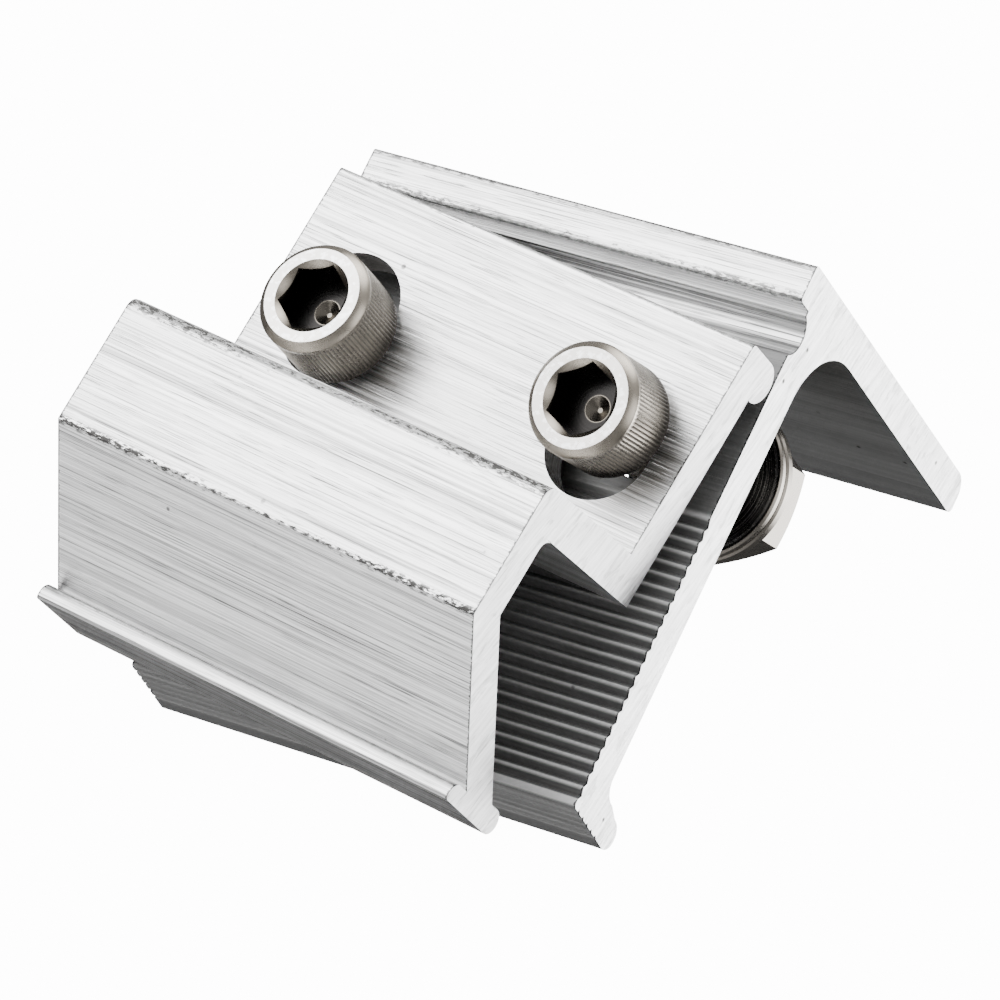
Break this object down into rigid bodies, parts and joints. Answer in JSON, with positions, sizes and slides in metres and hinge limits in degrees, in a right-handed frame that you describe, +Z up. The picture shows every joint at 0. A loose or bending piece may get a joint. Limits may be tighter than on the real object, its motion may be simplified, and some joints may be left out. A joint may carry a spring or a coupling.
{
  "type": "standing seam roof clamp",
  "caption": "Two extruded aluminium jaws drawn together by socket head screws to grip a roof rib, with a flange on top for a rail.",
  "frame": {"origin": "middle of the rear jaw's toothed gripping face, midway along its length, at the height where the rib is gripped", "axes": "+X along the extrusions, +Y back through the rear jaw towards the flange's free edge, +Z up to the flange's rail seat"},
  "size_m": [0.0901, 0.1074, 0.0999],
  "materials": {
    "mill_aluminium": "mill finish extrusion with fine lines, scuffs and sawn ends",
    "stainless_steel": "turned and knurled stainless steel"
  },
  "bodies": {
    "rear_jaw": {"rear_jaw": "mill_aluminium"},
    "front_jaw": {"front_jaw": "mill_aluminium"},
    "left_screw": {"left_socket_screw": "stainless_steel"},
    "right_screw": {"right_socket_screw": "stainless_steel"},
    "left_washer": {"left_flat_washer": "stainless_steel"},
    "right_washer": {"right_flat_washer": "stainless_steel"},
    "left_nut": {"left_flange_nut": "stainless_steel"},
    "right_nut": {"right_flange_nut": "stainless_steel"}
  },
  "joints": [
    {"name": "front_jaw_slide", "type": "slide", "parent": "rear_jaw", "child": "front_jaw", "axis": [0.0069, 0.9932, 0.1158], "range_m": [-0.005, 0.0006]},
    {"name": "left_screw_slide", "type": "slide", "parent": "rear_jaw", "child": "left_screw", "axis": [0.0035, 0.9996, 0.0279], "range_m": [-0.005, 0.0006]},
    {"name": "left_washer_slide", "type": "slide", "parent": "left_screw", "child": "left_washer", "axis": [-0.0035, -0.9996, -0.0279], "range_m": [0, 0.004]},
    {"name": "left_nut_turn", "type": "hinge", "parent": "left_washer", "child": "left_nut", "pos_m": [-0.0253, 0.0035, 0.03325], "axis": [-0.0035, -0.9996, -0.0279], "range_deg": [0, 824]},
    {"name": "right_screw_slide", "type": "slide", "parent": "rear_jaw", "child": "right_screw", "axis": [0.0103, 0.9792, 0.2028], "range_m": [-0.005, 0.0006]},
    {"name": "right_washer_slide", "type": "slide", "parent": "right_screw", "child": "right_washer", "axis": [-0.0103, -0.9792, -0.2028], "range_m": [0, 0.004]},
    {"name": "right_nut_turn", "type": "hinge", "parent": "right_washer", "child": "right_nut", "pos_m": [0.025, 0.0035, 0.0339], "axis": [-0.0103, -0.9792, -0.2028], "range_deg": [0, 824]}
  ],
  "couplings": [
    {"joint": "left_screw_slide", "follows": "front_jaw_slide", "ratio": 1},
    {"joint": "left_nut_turn", "follows": "left_washer_slide", "rad_per_m": 3590.4},
    {"joint": "right_screw_slide", "follows": "front_jaw_slide", "ratio": 1},
    {"joint": "right_nut_turn", "follows": "right_washer_slide", "rad_per_m": 3590.4}
  ]
}
